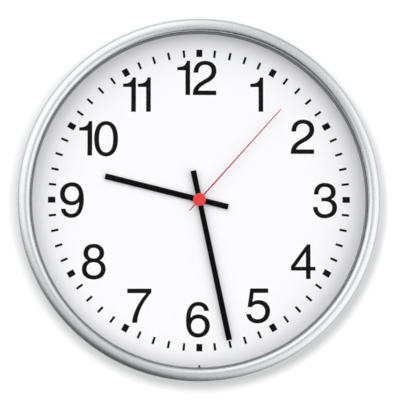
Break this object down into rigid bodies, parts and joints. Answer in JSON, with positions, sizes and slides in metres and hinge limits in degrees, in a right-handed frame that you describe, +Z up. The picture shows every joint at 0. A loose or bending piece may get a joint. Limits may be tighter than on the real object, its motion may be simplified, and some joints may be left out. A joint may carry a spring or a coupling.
{
  "type": "radio-controlled wall clock",
  "caption": "Round radio-controlled wall clock with a rounded silver bezel, flat glass, white dial, bar hands, geared movement and keyhole back.",
  "frame": {"origin": "the hanging point: top of the keyhole slot, on the plane of the wall", "axes": "+Z up, +Y into the wall, the dial faces -Y, +X to the right of someone who reads the clock"},
  "size_m": [0.3, 0.045, 0.3],
  "materials": {
    "silver_lacquer": "silver metallic lacquer on moulded ABS, satin",
    "float_glass": "clear, polished edges",
    "black_rubber": "moulded rubber, matte",
    "reveal_grey": "dark grey moulded plastic, satin",
    "dial_white": "white lacquered aluminium sheet, matte",
    "dial_print": "black screen print, matte",
    "case_black": "fine eroded ABS, matte",
    "screw_steel": "zinc plated",
    "housing_black": "moulded plastic, matte",
    "plate_ivory": "acetal, satin",
    "wheel_acetal": "acetal, satin",
    "pin_steel": "ground steel",
    "hand_black": "black lacquered aluminium sheet, satin",
    "hand_red": "red lacquered aluminium, satin",
    "tube_brass": "drawn brass",
    "rotor_magnet": "bonded magnet with moulded pinion, matte",
    "stator_steel": "stamped soft iron sheet",
    "bobbin_nylon": "nylon, matte",
    "copper_wire": "enamelled copper wire",
    "board_green": "solder mask on glass-fibre board, satin",
    "chip_black": "epoxy, matte",
    "crystal_can": "nickel plated can",
    "ferrite": "sintered ferrite, matte",
    "cell_jacket": "plain printed film over the can, satin",
    "contact_nickel": "nickel plated spring steel",
    "button_grey": "moulded plastic, matte"
  },
  "bodies": {
    "case": {"bezel_ring": "silver_lacquer", "glass": "float_glass", "glass_gasket": "black_rubber", "reveal_ring": "reveal_grey", "dial_plate": "dial_white", "minute_track": "dial_print", "rear_case": "case_black", "case_screws": "screw_steel", "movement_front": "housing_black", "movement_back": "housing_black", "middle_plate": "plate_ivory", "rubber_pad": "black_rubber", "wheel_pins": "pin_steel", "minute_stator": "stator_steel", "seconds_stator": "stator_steel", "minute_bobbin": "bobbin_nylon", "seconds_bobbin": "bobbin_nylon", "minute_coil": "copper_wire", "seconds_coil": "copper_wire", "circuit_board": "board_green", "control_chip": "chip_black", "quartz_crystal": "crystal_can", "light_barrier": "chip_black", "ferrite_rod": "ferrite", "antenna_coil": "copper_wire", "contact_positive": "contact_nickel", "contact_negative": "contact_nickel"},
    "second_hand": {"second_hand": "hand_red", "second_tube": "tube_brass", "seconds_wheel": "wheel_acetal", "seconds_arbor": "pin_steel"},
    "seconds_intermediate": {"seconds_intermediate": "wheel_acetal"},
    "seconds_rotor": {"seconds_rotor": "rotor_magnet"},
    "minute_hand": {"minute_hand": "hand_black", "minute_wheel": "wheel_acetal"},
    "minute_intermediate_2": {"minute_intermediate_2": "wheel_acetal"},
    "minute_intermediate_1": {"minute_intermediate_1": "wheel_acetal"},
    "minute_rotor": {"minute_rotor": "rotor_magnet"},
    "hour_hand": {"hour_hand": "hand_black", "hour_wheel": "wheel_acetal"},
    "motion_wheel": {"motion_wheel": "wheel_acetal"},
    "battery": {"battery": "cell_jacket"},
    "button_set": {"button_set": "button_grey"},
    "button_receive": {"button_receive": "button_grey"},
    "button_reset": {"button_reset": "button_grey"}
  },
  "joints": [
    {"name": "second_turn", "type": "hinge", "parent": "case", "child": "second_hand", "pos_m": [0, -0.0335, -0.118], "axis": [0, 1, 0], "continuous": true},
    {"name": "second_intermediate_turn", "type": "hinge", "parent": "case", "child": "seconds_intermediate", "pos_m": [-0.01082, -0.0142, -0.1151], "axis": [0, 1, 0], "continuous": true},
    {"name": "second_rotor_turn", "type": "hinge", "parent": "case", "child": "seconds_rotor", "pos_m": [-0.01868, -0.0122, -0.12061], "axis": [0, 1, 0], "continuous": true},
    {"name": "minute_turn", "type": "hinge", "parent": "case", "child": "minute_hand", "pos_m": [0, -0.0314, -0.118], "axis": [0, 1, 0], "continuous": true},
    {"name": "minute_intermediate_2_turn", "type": "hinge", "parent": "case", "child": "minute_intermediate_2", "pos_m": [0.00797, -0.02, -0.1134], "axis": [0, 1, 0], "continuous": true},
    {"name": "minute_intermediate_1_turn", "type": "hinge", "parent": "case", "child": "minute_intermediate_1", "pos_m": [0.01699, -0.0186, -0.11668], "axis": [0, 1, 0], "continuous": true},
    {"name": "minute_rotor_turn", "type": "hinge", "parent": "case", "child": "minute_rotor", "pos_m": [0.02316, -0.0196, -0.12404], "axis": [0, 1, 0], "continuous": true},
    {"name": "motion_wheel_turn", "type": "hinge", "parent": "case", "child": "motion_wheel", "pos_m": [0.00866, -0.0228, -0.123], "axis": [0, 1, 0], "continuous": true},
    {"name": "hour_turn", "type": "hinge", "parent": "case", "child": "hour_hand", "pos_m": [0, -0.0297, -0.118], "axis": [0, 1, 0], "continuous": true},
    {"name": "battery_slide", "type": "slide", "parent": "case", "child": "battery", "axis": [0, 1, 0], "range_m": [0, 0.026]},
    {"name": "button_set_press", "type": "slide", "parent": "case", "child": "button_set", "axis": [0, -1, 0], "range_m": [0, 0.0007], "stiffness_N_per_m": 800, "springref_m": -0.0003},
    {"name": "button_receive_press", "type": "slide", "parent": "case", "child": "button_receive", "axis": [0, -1, 0], "range_m": [0, 0.0007], "stiffness_N_per_m": 800, "springref_m": -0.0003},
    {"name": "button_reset_press", "type": "slide", "parent": "case", "child": "button_reset", "axis": [0, -1, 0], "range_m": [0, 0.0007], "stiffness_N_per_m": 800, "springref_m": -0.0003}
  ],
  "couplings": [
    {"joint": "second_intermediate_turn", "follows": "second_turn", "ratio": -6},
    {"joint": "second_rotor_turn", "follows": "second_turn", "ratio": 30},
    {"joint": "minute_intermediate_2_turn", "follows": "minute_turn", "ratio": -3.6},
    {"joint": "minute_intermediate_1_turn", "follows": "minute_turn", "ratio": 18},
    {"joint": "minute_rotor_turn", "follows": "minute_turn", "ratio": -90},
    {"joint": "motion_wheel_turn", "follows": "minute_turn", "ratio": -0.33333},
    {"joint": "hour_turn", "follows": "minute_turn", "ratio": 0.083333}
  ]
}
